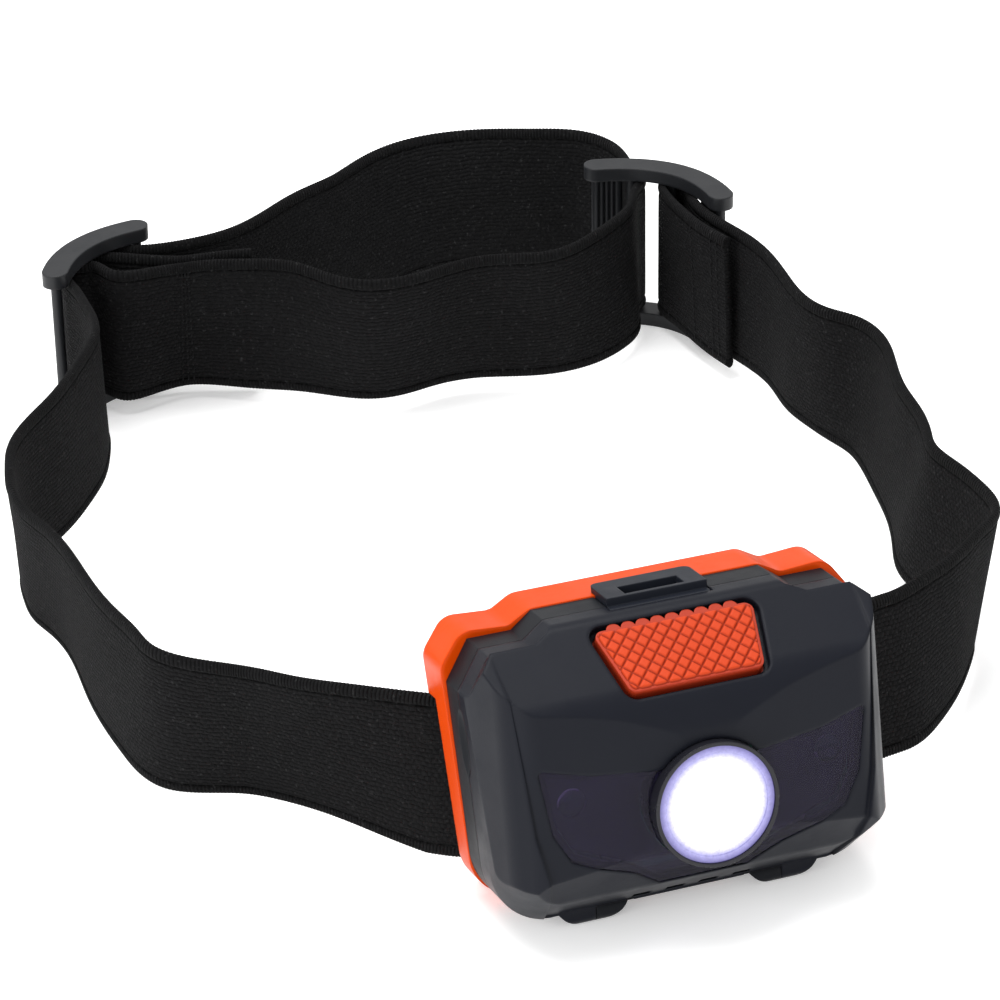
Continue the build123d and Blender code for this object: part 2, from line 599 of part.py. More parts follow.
chip_height = (LENS_HEIGHT - 1.1, LENS_HEIGHT + 1.1)
save_lamp(box((-1.1, 1.1), (BOARD[1] - 0.8, BOARD[1] - 1.4), chip_height), "main_led")
save_lamp(side_light(), "side_light_right")
save_lamp(mirror(side_light(), Plane.YZ), "side_light_left")
save_lamp(carrier(), "light_carrier")
save_lamp(board(), "circuit_board")
save_lamp(carrier_screws(), "carrier_screws")
save_lamp(driver_parts(), "driver_parts")
save_lamp(switch(), "push_switch")
save_lamp(button(), "button")
save_lamp(contact_springs(), "contact_springs")
save_lamp(contact_plates(), "contact_plates")
for name, height in zip(("cell_bottom", "cell_middle", "cell_top"), CELL_HEIGHTS):
    save_lamp(cell(height), name)
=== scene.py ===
import json
import math

import bpy
import numpy as np
from mathutils import Matrix, Vector


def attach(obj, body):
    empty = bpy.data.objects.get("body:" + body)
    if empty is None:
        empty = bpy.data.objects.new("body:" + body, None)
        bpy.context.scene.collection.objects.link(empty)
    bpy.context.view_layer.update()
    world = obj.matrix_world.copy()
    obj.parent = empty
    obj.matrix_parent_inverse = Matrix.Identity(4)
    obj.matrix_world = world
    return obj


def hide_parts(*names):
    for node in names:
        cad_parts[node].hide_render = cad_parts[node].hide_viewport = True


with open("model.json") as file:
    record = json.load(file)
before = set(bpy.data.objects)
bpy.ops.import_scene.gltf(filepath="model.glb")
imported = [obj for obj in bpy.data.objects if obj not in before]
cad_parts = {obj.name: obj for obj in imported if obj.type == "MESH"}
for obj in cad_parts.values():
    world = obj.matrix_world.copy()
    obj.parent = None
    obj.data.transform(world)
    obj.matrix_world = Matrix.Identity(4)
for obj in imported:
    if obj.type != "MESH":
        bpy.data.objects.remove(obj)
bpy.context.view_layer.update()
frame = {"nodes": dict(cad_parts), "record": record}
NODES = frame["nodes"]
JOINTS = {joint["name"]: joint for joint in frame["record"]["behaviour"]["joints"]}
MM = 0.001

# The lamp leans back by 12 degrees. Its own frame has X across, Y through its depth and Z up its height,
# and comes from the place of the housing's hinge, at HOUSING_PIN in it.
LEAN = math.radians(-12.0)
HOUSING_PIN = Vector((0, -19.0, -4.9)) * MM
LAMP_TURN = Matrix.Rotation(LEAN, 4, "X")
HINGE_PLACE = Vector(JOINTS["housing_open"]["pos_m"])
LAMP = Matrix.Translation(HINGE_PLACE) @ LAMP_TURN @ Matrix.Translation(-HOUSING_PIN)
LENS = LAMP @ (Vector((0, -34.2, 13.0)) * MM)
LENS_RADIUS = 8.4
CELL_LENGTH = 44.5

# The webbing has rows of knitted loops between two ribbed edges, with a groove GROOVE_AT from its middle.
STRAP_WIDTH = 25.0
ROW_PITCH, LOOP_PITCH, RIB_PITCH = 0.72, 0.95, 0.55
GROOVE_AT, GROOVE_HALF = 10.7, 0.35


# Materials


class Shader:
    """A material under construction: node(...) adds a node, sets its inputs and returns one output."""

    def __init__(self, name):
        self.material = bpy.data.materials.new(name)
        self.material.use_nodes = True
        self.tree = self.material.node_tree
        self.tree.nodes.clear()
        self.bsdf = self.tree.nodes.new("ShaderNodeBsdfPrincipled")
        self.out = self.tree.nodes.new("ShaderNodeOutputMaterial")
        self.tree.links.new(self.bsdf.outputs[0], self.out.inputs[0])

    def put(self, socket, value):
        if isinstance(value, bpy.types.NodeSocket):
            self.tree.links.new(value, socket)
        elif isinstance(value, (tuple, list)) and len(value) == 3 and socket.type == "RGBA":
            socket.default_value = (*value, 1)
        else:
            socket.default_value = value

    def node(self, kind, inputs=None, output=0, **settings):
        n = self.tree.nodes.new("ShaderNode" + kind)
        for key, value in settings.items():
            setattr(n, key, value)
        for key, value in (inputs or {}).items():
            self.put(n.inputs[key], value)
        return n.outputs[output]

    def math(self, operation, a, b=0.0, c=0.0):
        n = self.tree.nodes.new("ShaderNodeMath")
        n.operation = operation
        for socket, value in zip(n.inputs, (a, b, c)):
            self.put(socket, value)
        return n.outputs[0]

    def mix(self, factor, a, b, blend="MIX"):
        n = self.tree.nodes.new("ShaderNodeMix")
        n.data_type = "RGBA"
        n.blend_type = blend
        self.put(n.inputs[0], factor)
        self.put(n.inputs[6], a)
        self.put(n.inputs[7], b)
        return n.outputs[2]

    def steps(self, factor, *stops):
        """A ramp from (place, value) stops, as grey levels or colours."""
        n = self.tree.nodes.new("ShaderNodeValToRGB")
        ramp = n.color_ramp
        while len(ramp.elements) < len(stops):
            ramp.elements.new(0.5)
        for element, (place, value) in zip(ramp.elements, stops):
            element.position = place
            element.color = (*value, 1) if isinstance(value, tuple) else (value, value, value, 1)
        self.put(n.inputs[0], factor)
        return n.outputs[0]

    def place(self):
        return self.node("TexCoord", output=3)

    def split(self, vector):
        """The X, Y and Z outputs of a vector."""
        n = self.tree.nodes.new("ShaderNodeSeparateXYZ")
        self.put(n.inputs[0], vector)
        return n.outputs

    def bump(self, strength, depth, height, **inputs):
        """A bump normal, with its depth in millimetres."""
        return self.node("Bump", {"Strength": strength, "Distance": depth * MM, "Height": height, **inputs})

    def noise(self, scale, detail=2.0, roughness=0.5, where=None):
        inputs = {"Vector": where or self.place(), "Scale": scale, "Detail": detail, "Roughness": roughness}
        return self.node("TexNoise", inputs)

    def set(self, **values):
        for key, value in values.items():
            self.put(self.bsdf.inputs[key.replace("_", " ")], value)
        return self.material


def moulded(name, colour, rough, grain=0.35, grain_depth=0.012, edge=0.35, edge_highlight=0.25, light=1.6, shine=0.3,
            shaded_grooves=False):
    """Moulded plastic: fine grain, softly rounded edges with a painted highlight that makes them a little
    paler, and faint marks.

    A grooved one has painted shade where the mesh's own Height is low, in the grooves between its raised
    parts.
    """
    s = Shader(name)
    fine = s.noise(1 / (grain * MM), 3.0, 0.6)
    marks = s.noise(130.0, 5.0, 0.65)
    cloud = s.noise(38.0, 3.0)
    smooth_normal = s.node("Bevel", {"Radius": edge * MM}, samples=6)
    bump = s.bump(1.0, grain_depth, fine, Normal=smooth_normal)
    flat = s.node("NewGeometry", output=1)
    turned = s.node("VectorMath", {0: flat, 1: smooth_normal}, output=1, operation="DOT_PRODUCT")
    # Painted highlight: the rounded edges are painted paler, as if they catch the light.
    edges = s.steps(turned, (0.90, 1.0), (0.995, 0.0))
    edge_highlight_colour = tuple(min(1.0, c * light + 0.004) for c in colour)
    shade = s.mix(s.math("MULTIPLY", edges, edge_highlight), colour, edge_highlight_colour)
    dark = tuple(c * 0.86 for c in colour)
    shade = s.mix(s.steps(cloud, (0.35, 0.0), (0.7, 0.6)), shade, dark)
    # Painted shade: the grooves, where the Height is low, are painted darker.
    if shaded_grooves:
        height = s.node("Attribute", output=2, attribute_name="Height")
        shade = s.mix(1.0, shade, s.steps(height, (0.0, (0.42, 0.30, 0.25)), (0.8, (1, 1, 1))), "MULTIPLY")
    roughness = s.math("MULTIPLY_ADD", s.steps(marks, (0.4, 0.0), (0.75, 1.0)), 0.14, rough)
    return s.set(Base_Color=shade, Roughness=roughness, Normal=bump, Specular_IOR_Level=shine)


def metal(name, colour, rough, brushed=(1, 1, 12)):
    s = Shader(name)
    stretched = s.node("Mapping", {"Vector": s.place(), "Scale": brushed})
    streaks = s.noise(900.0, 4.0, 0.6, stretched)
    tarnish = s.noise(240.0, 3.0)
    bump = s.bump(0.6, 0.01, streaks)
    shade = s.mix(s.steps(tarnish, (0.4, 0.0), (0.8, 0.7)), colour, tuple(c * 0.7 for c in colour))
    roughness = s.math("MULTIPLY_ADD", streaks, 0.15, rough)
    return s.set(Base_Color=shade, Metallic=1.0, Roughness=roughness, Normal=bump)


def clear(name, tint, rough):
    """Clear plastic with faint moulding ripples."""
    s = Shader(name)
    ripple = s.noise(90.0, 2.0)
    smear = s.noise(240.0, 3.0, 0.6)
    bump = s.bump(0.3, 0.006, ripple)
    roughness = s.math("MULTIPLY_ADD", s.steps(smear, (0.5, 0.0), (0.8, 1.0)), 0.05, rough)
    return s.set(Base_Color=tint, Roughness=roughness, Transmission_Weight=1.0, IOR=1.49, Normal=bump)


def smoked():
    """The smoked window: dark gloss plastic that shows a little of the plate and the lights behind it."""
    s = Shader("smoked_window")
    cloud = s.noise(60.0, 3.0)
    smear = s.noise(300.0, 4.0, 0.6)
    tint = s.mix(s.steps(cloud, (0.35, 0.0), (0.7, 1.0)), (0.012, 0.010, 0.022), (0.020, 0.017, 0.038))
    bump = s.bump(0.3, 0.006, cloud)
    roughness = s.math("MULTIPLY_ADD", s.steps(smear, (0.5, 0.0), (0.8, 1.0)), 0.06, 0.07)
    s.set(Base_Color=tint, Roughness=roughness, Normal=bump, Specular_IOR_Level=0.35)
    through = s.node("BsdfTransparent", {"Color": (0.62, 0.58, 0.78)})
    blend = s.node("MixShader", {0: 0.68, 1: s.bsdf.outputs[0], 2: through})
    s.put(s.out.inputs[0], blend)
    return s.material


def lit_lens():
    """The ringed main lens with the light on behind it: white, a little violet at its rim."""
    s = Shader("lens_lit")
    away = s.node("VectorMath", {0: s.place(), 1: tuple(LENS)}, operation="SUBTRACT")
    up = LAMP_TURN.to_3x3() @ Vector((0, 0, 1))
    across = s.node("VectorMath", {0: away, 1: (1, 0, 0)}, output=1, operation="DOT_PRODUCT")
    height = s.node("VectorMath", {0: away, 1: tuple(up)}, output=1, operation="DOT_PRODUCT")
    squares = s.math("ADD", s.math("MULTIPLY", across, across), s.math("MULTIPLY", height, height))
    share = s.math("DIVIDE", s.math("SQRT", squares), LENS_RADIUS * MM)
    colour = s.steps(share, (0.0, (1, 1, 1)), (0.74, (0.94, 0.95, 1.0)), (1.0, (0.40, 0.36, 1.0)))
    facets = s.noise(1400.0, 2.0, 0.7)
    strength = s.steps(share, (0.0, 1.0), (0.62, 0.4), (0.86, 0.12), (1.0, 0.03))
    strength = s.math("MULTIPLY", strength, s.math("MULTIPLY_ADD", facets, 5.0, 3.0))
    bump = s.bump(0.5, 0.05, facets)
    return s.set(Base_Color=(0.10, 0.09, 0.22), Roughness=0.12, Normal=bump, Emission_Color=colour,
                 Emission_Strength=strength)


def webbing():
    """Knitted elastic from the strap's own map, in metres: u along it and v across it."""
    s = Shader("webbing")
    u, v, _ = s.split(s.node("UVMap", uv_map="Weave"))
    wobble = s.math("MULTIPLY_ADD", s.noise(420.0, 3.0, 0.6), 1.3 * MM, v)
    row = s.math("DIVIDE", wobble, ROW_PITCH * MM)
    half = s.math("MULTIPLY", s.math("MODULO", s.math("FLOOR", row), 2.0), 0.5)
    column = s.math("ADD", s.math("DIVIDE", u, LOOP_PITCH * MM), half)
    course = s.math("ABSOLUTE", s.math("SINE", s.math("MULTIPLY", row, math.pi)))
    loop = s.math("ABSOLUTE", s.math("SINE", s.math("MULTIPLY", column, math.pi)))
    knit = s.math("MULTIPLY", s.math("POWER", course, 0.7), s.math("MULTIPLY_ADD", loop, 0.6, 0.4))
    ribs = s.math("ABSOLUTE", s.math("SINE", s.math("DIVIDE", u, RIB_PITCH * MM / math.pi)))
    side = s.math("ABSOLUTE", s.math("SUBTRACT", v, STRAP_WIDTH / 2 * MM))
    edge = s.node("MapRange", {"Value": side, 1: (GROOVE_AT - 0.1) * MM, 2: (GROOVE_AT + 0.05) * MM})
    from_groove = s.math("ABSOLUTE", s.math("SUBTRACT", side, GROOVE_AT * MM))
    near_groove = s.steps(s.math("DIVIDE", from_groove, GROOVE_HALF * MM), (0.0, 1.0), (1.0, 0.0))
    groove = s.math("SUBTRACT", 1.0, near_groove)
    middle_part = s.math("MULTIPLY", knit, s.math("SUBTRACT", 1.0, edge))
    height = s.math("ADD", middle_part, s.math("MULTIPLY", ribs, edge))
    fuzz = s.noise(4200.0, 3.0, 0.7)
    height = s.math("MULTIPLY", s.math("MULTIPLY_ADD", fuzz, 0.9, height), groove)
    bump = s.bump(1.0, 0.45, height)
    specks = s.steps(s.noise(1700.0, 2.0, 0.6), (0.62, 0.0), (0.72, 1.0))
    tufts = s.steps(s.noise(1250.0, 3.0, 0.65), (0.44, 0.0), (0.60, 1.0))
    cloud = s.steps(s.noise(45.0, 3.0), (0.3, 0.0), (0.7, 1.0))
    # Painted shade: the knit's hollows and the stitch groove are painted darker than its raised loops.
    raised = s.steps(height, (0.2, 0.0), (1.1, 1.0))
    shade = s.mix(raised, (0.0006, 0.0006, 0.0007), (0.0085, 0.0085, 0.009))
    shade = s.mix(s.math("MULTIPLY", tufts, 0.6), shade, (0.013, 0.013, 0.0135))
    shade = s.mix(s.math("MULTIPLY", cloud, 0.45), shade, (0.003, 0.003, 0.0032))
    shade = s.mix(s.math("MULTIPLY", specks, 0.7), shade, (0.035, 0.035, 0.036))
    return s.set(Base_Color=shade, Roughness=0.92, Normal=bump, Sheen_Weight=0.02, Sheen_Roughness=0.45,
                 Sheen_Tint=(0.5, 0.5, 0.52), Specular_IOR_Level=0.06)


def thread():
    s = Shader("thread")
    twist = s.noise(3000.0, 2.0)
    bump = s.bump(0.8, 0.05, twist)
    shade = s.mix(twist, (0.002, 0.002, 0.002), (0.008, 0.008, 0.009))
    return s.set(Base_Color=shade, Roughness=0.8, Normal=bump, Sheen_Weight=0.03, Specular_IOR_Level=0.1)


def led_face():
    s = Shader("phosphor")
    grain = s.noise(5000.0, 2.0)
    shade = s.mix(grain, (0.95, 0.86, 0.35), (0.85, 0.72, 0.22))
    return s.set(Base_Color=shade, Roughness=0.6, Emission_Color=(0.9, 0.95, 1.0), Emission_Strength=8.0)


def board_green():
    s = Shader("solder_mask")
    pattern = {"Color1": (0.02, 0.12, 0.06), "Color2": (0.015, 0.10, 0.05), "Mortar": (0.04, 0.20, 0.11)}
    tracks = s.node("TexBrick", {"Vector": s.place(), "Scale": 260.0, "Mortar Size": 0.03, **pattern})
    weave = s.noise(2200.0, 2.0)
    bump = s.bump(0.4, 0.02, weave)
    return s.set(Base_Color=tracks, Roughness=0.35, Normal=bump)


def cell_sleeve():
    """A plain two-tone sleeve: dark blue with a copper band."""
    s = Shader("cell_sleeve")
    along_cell = s.math("MULTIPLY_ADD", s.split(s.place())[0], 1 / (CELL_LENGTH * MM), 0.5)
    band = s.steps(along_cell, (0.30, 0.0), (0.32, 1.0))
    scuffs = s.noise(300.0, 5.0, 0.7)
    shade = s.mix(band, (0.02, 0.06, 0.22), (0.55, 0.24, 0.08))
    shade = s.mix(s.steps(scuffs, (0.55, 0.0), (0.9, 0.4)), shade, (0.25, 0.25, 0.27))
    bump = s.bump(0.3, 0.02, scuffs)
    return s.set(Base_Color=shade, Metallic=0.35, Roughness=0.32, Normal=bump)


BRACKET_ORANGE = (0.60, 0.052, 0.0)
BUTTON_ORANGE = (0.36, 0.026, 0.004)
# Painted highlight: the button's upward diamond face is the button's own rubber painted lighter, as if lit
# from above.
LIT_BUTTON_ORANGE = (0.50, 0.045, 0.008)
COVER_CHARCOAL = (0.0065, 0.0075, 0.010)
SHELL_CHARCOAL = (0.0075, 0.0085, 0.0130)
LATCH_CHARCOAL = (0.0110, 0.0130, 0.0190)
BUCKLE_BLACK = (0.011, 0.012, 0.014)
COLLAR_BLACK = (0.012, 0.012, 0.016)
PIN_STEEL = (0.62, 0.62, 0.64)
LED_ROSE = (0.95, 0.80, 0.82)
LOOKS = {
    "bracket": moulded("bracket_orange", BRACKET_ORANGE, 0.30, grain=0.5, grain_depth=0.006, edge=0.8,
                       edge_highlight=0.3, light=1.2, shine=0.10),
    "rear_cover": moulded("cover_charcoal", COVER_CHARCOAL, 0.40, edge=0.3, shine=0.12),
    "front_shell": moulded("shell_charcoal", SHELL_CHARCOAL, 0.34, edge=0.7, shine=0.11),
    "latch": moulded("latch_charcoal", LATCH_CHARCOAL, 0.38, edge=0.3, shine=0.14),
    "slider_buckle": moulded("slider_plastic", BUCKLE_BLACK, 0.42, grain=0.4, edge=0.5),
    "ring_buckle": moulded("ring_plastic", BUCKLE_BLACK, 0.42, grain=0.4, edge=0.5),
    "lens_ring": moulded("lens_collar", COLLAR_BLACK, 0.25, grain=0.6, grain_depth=0.004, edge=0.2),
    "light_carrier": moulded("carrier_plastic", (0.012, 0.012, 0.015), 0.5, edge=0.2),
    "light_bezel": moulded("bezel_plastic", (0.010, 0.010, 0.016), 0.3, edge=0.2),
    "driver_parts": moulded("driver_plastic", (0.02, 0.02, 0.022), 0.5, edge=0.15),
    "push_switch": moulded("switch_plastic", (0.035, 0.033, 0.03), 0.45, edge=0.15),
    "cover_seal": moulded("seal_rubber", (0.012, 0.012, 0.012), 0.7, edge=0.15),
    "button": moulded("button_rubber", BUTTON_ORANGE, 0.55, grain=0.3, edge=0.3, light=1.2),
    "window": smoked(),
    "main_lens": lit_lens(),
    "main_led": led_face(),
    "side_light_right": clear("red_light_right", LED_ROSE, 0.06),
    "side_light_left": clear("red_light_left", LED_ROSE, 0.06),
    "heat_spreader": metal("spreader_metal", (0.75, 0.76, 0.78), 0.3),
    "carrier_screws": metal("screw_metal", (0.6, 0.6, 0.62), 0.28),
    "tilt_pin": metal("tilt_pin_metal", PIN_STEEL, 0.25, (12, 1, 1)),
    "latch_pin": metal("latch_pin_metal", PIN_STEEL, 0.25, (12, 1, 1)),
    "housing_pins": metal("housing_pin_metal", PIN_STEEL, 0.25, (12, 1, 1)),
    "contact_springs": metal("spring_metal", (0.72, 0.70, 0.66), 0.25),
    "contact_plates": metal("plate_metal", (0.74, 0.72, 0.66), 0.3),
    "circuit_board": board_green(),
    "cell_bottom": cell_sleeve(),
    "cell_middle": cell_sleeve(),
    "cell_top": cell_sleeve(),
}
for node, look in LOOKS.items():
    NODES[node].data.materials.clear()
    NODES[node].data.materials.append(look)


# Mesh helpers


def new_mesh(name, points, faces, material, body):
    mesh = bpy.data.meshes.new(name)
    mesh.from_pydata([tuple(p) for p in points], [], faces)
    mesh.update()
    obj = bpy.data.objects.new(name, mesh)
    bpy.context.collection.objects.link(obj)
    mesh.materials.append(material)
    for polygon in mesh.polygons:
        polygon.use_smooth = True
    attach(obj, body)
    return obj


# The strap follows the same route as its CAD solid, in millimetres. MIDDLE is the part's origin on that
# drawing, LIFT the height of the lamp's own frame, and WRAP the radius of a turn round a buckle bar. In
# front of BRACKET_FROM the strap stands on the floor of the bracket's slot.

MIDDLE = np.array((2.964, 76.744, 0.0))
STRAP_BASE = 2.6
SLOT_FLOOR = 0.3
BRACKET_FROM = -4.0
LIFT = 2.4426
WRAP = 1.8
WRAP_OVER = WRAP + 1.75
LEAN_SCALE = 10.0
DENSE_STEP, STRAP_STEP = 0.05, 0.275
SLIDER = ((-44.8, 148.0), (-27.5, 160.5), 3.0)
RING = ((54.2, 154.2), (69.6, 135.0), 5.0)


def bowed_bar(first, last, bow, share):
    x, y = last[0] - first[0], last[1] - first[1]
    length = math.hypot(x, y)
    rise = bow * (1 - (2 * share - 1) ** 2)
    return (first[0] + share * x - rise * y / length, first[1] + share * y + rise * x / length)


def around(centre, start, end, count, radius=WRAP):
    step = (end - start) / (count - 1)
    turns = [math.radians(start + step * n) for n in range(count)]
    return [(centre[0] + radius * math.cos(a), centre[1] + radius * math.sin(a), 0) for a in turns]


def strap_route():
    """From the free tail to the sewn flap: X and Y of the lower edge and the upper edge's outward lean."""
    slider, ring, ring_end = bowed_bar(*SLIDER, 0.5), bowed_bar(*RING, 0.21), bowed_bar(*RING, 0.5)
    route = [(-10, 150.2, -2), (-16, 152.2, -4), (-22, 154.0, -6), (-30, 155.2, 0)]
    route += around(slider, 70, 290, 6)
    # Inner layer across the back of the loop
    route += [(-33.8, 150.8, 2), (-29.2, 150.9, 5), (-22, 152.2, 8), (-12.5, 147, 2), (-4.8, 142.7, 2)]
    route += [(1, 138.5, 8), (6, 135.7, 11), (11, 135.2, 11), (17.5, 136.4, 10.5), (25, 136.3, 8.5)]
    route += [(31, 134.5, 7.5), (37.2, 132.9, 6.5), (44.8, 133.4, 0), (51.7, 136.8, -3), (57, 142.2, -3)]
    route += around(ring, -60, 40, 4)
    # Outer layer, bulging backward
    route += [(61.7, 157, 0), (61.7, 162, 2), (60.8, 167, 4), (57.3, 172, 7), (50, 174.4, 13)]
    route += [(41, 176.9, 18), (31, 177.3, 19), (23, 174.0, 17), (15, 169.4, 13), (5, 165.9, 7)]
    route += [(-3, 161, 5), (-11, 157.5, 3), (-17, 156.9, 1), (-23, 157.1, 0), (-28, 158, 0)]
    route += [(-33, 160.3, 0)]
    route += around(slider, 105, 165, 3, WRAP_OVER)
    # Left side, from the slider to the bracket
    route += [(-42.2, 152.5, 0), (-41.3, 146.5, 1), (-40.4, 141.3, 3), (-42.3, 131, 1), (-44.7, 124.4, 3)]
    route += [(-48.3, 118.5, 3), (-55.8, 109, 1), (-62, 102.3, 0), (-65.3, 96, 1), (-66.4, 89.5, 3)]
    route += [(-66.4, 83.5, 6), (-65.3, 79.5, 9), (-63.9, 71, 8.5), (-64.6, 58, 3), (-64.8, 49, 1)]
    route += [(-64.2, 41.3, 0), (-63.1, 34.8, 0), (-60.7, 30.2, 4), (-56.7, 27.6, 8), (-50.2, 24.7, 11)]
    route += [(-46.4, 21.6, 11), (-41.4, 16.1, 10), (-36.4, 8.5, 3), (-32, 1.8, -5)]
    # Through the bracket
    route += [(-26.4, -4.0, -12), (-20.5, -6.1, -12), (0, -6.1, -12), (20.5, -6.1, -12)]
    # Right side, from the bracket to the ring buckle
    route += [(26.6, -4.7, -12), (33, -2.6, -12), (39.4, -0.5, -11.5), (44.7, 1.1, -11), (50.1, 5.2, -7)]
    route += [(56.5, 11.8, -1), (61.6, 18.4, 3), (64.2, 23, 7), (65.0, 29.5, 8), (64.4, 36.5, 8)]
    route += [(64.0, 43, 7), (64.3, 48.4, 9), (66.6, 55.1, 8), (69.2, 62.8, 4), (71.4, 72.7, 4.5)]
    route += [(73.1, 81.2, 4.5), (73.4, 87.8, 1), (72.1, 92.9, -3), (70.8, 98.4, -3.5), (69.9, 104.6, -1)]
    route += [(70.7, 114.9, -1), (69.6, 123.5, 0), (67.9, 130.5, 0), (66.9, 137, 0), (67.2, 142.5, 0)]
    route += around(ring_end, 0, 180, 5)
    # The flap sewn back inside
    route += [(64.3, 143, 2), (64.9, 137, 3), (65.4, 131.5, 3), (66.9, 123.6, 2)]
    return np.array(route, float) / (1, 1, LEAN_SCALE)


def spline(knots, step):
    """Evenly spaced points on a natural cubic spline, with their directions and leans."""
    chord = np.concatenate([[0], np.cumsum(np.linalg.norm(np.diff(knots, axis=0), axis=1))])
    n, h = len(knots), np.diff(chord)
    system, right = np.eye(n), np.zeros(knots.shape)
    for i in range(1, n - 1):
        system[i, i - 1 : i + 2] = h[i - 1], 2 * (h[i - 1] + h[i]), h[i]
        right[i] = 6 * ((knots[i + 1] - knots[i]) / h[i] - (knots[i] - knots[i - 1]) / h[i - 1])
    bend = np.linalg.solve(system, right)
    t = np.linspace(0, chord[-1], int(chord[-1] / DENSE_STEP))
    i = np.clip(np.searchsorted(chord, t, "right") - 1, 0, n - 2)
    a, b = ((chord[i + 1] - t) / h[i])[:, None], ((t - chord[i]) / h[i])[:, None]
    hh = (h[i] ** 2 / 6)[:, None]
    dense = a * knots[i] + b * knots[i + 1] + ((a**3 - a) * bend[i] + (b**3 - b) * bend[i + 1]) * hh
    run = np.concatenate([[0], np.cumsum(np.linalg.norm(np.diff(dense[:, :2], axis=0), axis=1))])
    even = np.linspace(0, run[-1], int(run[-1] / step) + 1)
    points = np.stack([np.interp(even, run, dense[:, k]) for k in (0, 1, 2)], 1)
    along = np.gradient(points[:, :2], axis=0)
    return even, points[:, :2], along / np.linalg.norm(along, axis=1)[:, None], points[:, 2] * LEAN_SCALE


def smooth(value, low, high):
    """A soft step from 0 at low to 1 at high."""
    share = np.clip((value - low) / (high - low), 0, 1)
    return share * share * (3 - 2 * share)


run, line, along, lean = spline(strap_route(), STRAP_STEP)
outward = np.stack([along[:, 1], -along[:, 0], np.zeros(len(line))], 1)
lean = np.radians(lean)
slot_height = LIFT + (SLOT_FLOOR - line[:, 1] * math.sin(-LEAN)) * math.cos(LEAN)
base = np.where(line[:, 1] > BRACKET_FROM, np.maximum(STRAP_BASE, slot_height), slot_height)
UPRIGHT = np.array([0, 0, 1.0])
strap_up = outward * np.sin(lean)[:, None] + UPRIGHT * np.cos(lean)[:, None]
strap_out = outward * np.cos(lean)[:, None] - UPRIGHT * np.sin(lean)[:, None]
strap_foot = np.concatenate([line, base[:, None]], 1)

# Half of the webbing's section, mirrored about its middle: a rolled edge, a stitch groove and the flat.
ACROSS = [0.0, 0.25, 0.7, 1.2, 1.6, 1.8, 2.0, 2.6, 5.0, 8.0, 12.5]
HALF_THICK = [0.18, 0.50, 0.70, 0.74, 0.66, 0.50, 0.52, 0.62, 0.64, 0.64, 0.64]
ACROSS += [STRAP_WIDTH - v for v in ACROSS[-2::-1]]
HALF_THICK += HALF_THICK[-2::-1]
RIB_RISE = 0.05


def strap_point(n, v, out):
    return (strap_foot[n] + strap_up[n] * v + strap_out[n] * out - MIDDLE) * MM


def looseness():
    """How free the webbing is to wave along its run: 0 at the bracket and the buckles, 1 away from them."""
    free = smooth(np.hypot(line[:, 0], line[:, 1] + 6), 34, 50)
    for bars in (SLIDER, RING):
        middle = bowed_bar(*bars, 0.5)
        free = free * smooth(np.hypot(line[:, 0] - middle[0], line[:, 1] - middle[1]), 16, 30)
    return free


def strap_surface():
    """The webbing as one closed band, with ribbed edges and slow waves where it hangs free."""
    v = np.array(ACROSS + ACROSS[::-1])
    out = np.array(HALF_THICK + [-t for t in HALF_THICK[::-1]])
    ring = len(v)
    from_middle = v - STRAP_WIDTH / 2
    edge = (np.abs(from_middle) > STRAP_WIDTH / 2 - 0.3) * np.sign(from_middle)
    ribs = np.cos(run * (2 * math.pi / RIB_PITCH)) * RIB_RISE
    waves = (0.10 * np.sin(run / 9.0 + 0.6) + 0.08 * np.sin(run / 5.3 + 2.0)) * looseness()
    height = v[None, :] + ribs[:, None] * edge[None, :]
    shift = out[None, :] + waves[:, None] * (from_middle / (STRAP_WIDTH / 2))[None, :]
    points = strap_foot[:, None, :] + strap_up[:, None, :] * height[..., None]
    points = (points + strap_out[:, None, :] * shift[..., None] - MIDDLE) * MM
    n = len(run)
    faces = []
    for i in range(n - 1):
        for k in range(ring):
            m = (k + 1) % ring
            faces.append((i * ring + k, (i + 1) * ring + k, (i + 1) * ring + m, i * ring + m))
    faces.append(tuple(range(ring)))
    faces.append(tuple((n - 1) * ring + k for k in reversed(range(ring))))
    obj = new_mesh("strap_webbing", points.reshape(-1, 3), faces, webbing(), "strap")
    layer = obj.data.uv_layers.new(name="Weave")
    corner = np.empty(len(obj.data.loops), np.int32)
    obj.data.loops.foreach_get("vertex_index", corner)
    uv = np.stack([run[corner // ring], v[corner % ring]], 1) * MM
    layer.data.foreach_set("uv", uv.astype(np.float32).ravel())
    return obj


strap = strap_surface()
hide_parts("head_strap")


# The button's rubber face: rows of flat-topped diamonds with grooves between them.

SLOPE = math.radians(36.7)
BUTTON = np.array(LAMP @ (Vector((0, -26.6, 33.25)) * MM))
SLOPE_OUT = np.array(LAMP_TURN.to_3x3() @ Vector((0, -math.sin(SLOPE), math.cos(SLOPE))))
SLOPE_UP = np.array(LAMP_TURN.to_3x3() @ Vector((0, math.cos(SLOPE), math.sin(SLOPE))))
BUTTON_TOP, BUTTON_FOOT, BUTTON_LENGTH, BUTTON_CORNER = 23.3, 19.1, 10.4, 1.1
DIAMOND_WIDE, DIAMOND_HIGH, DIAMOND_RISE = 2.15, 2.35, 0.32
GROOVE_FLOOR, FACE_SINK = 0.05, 0.25


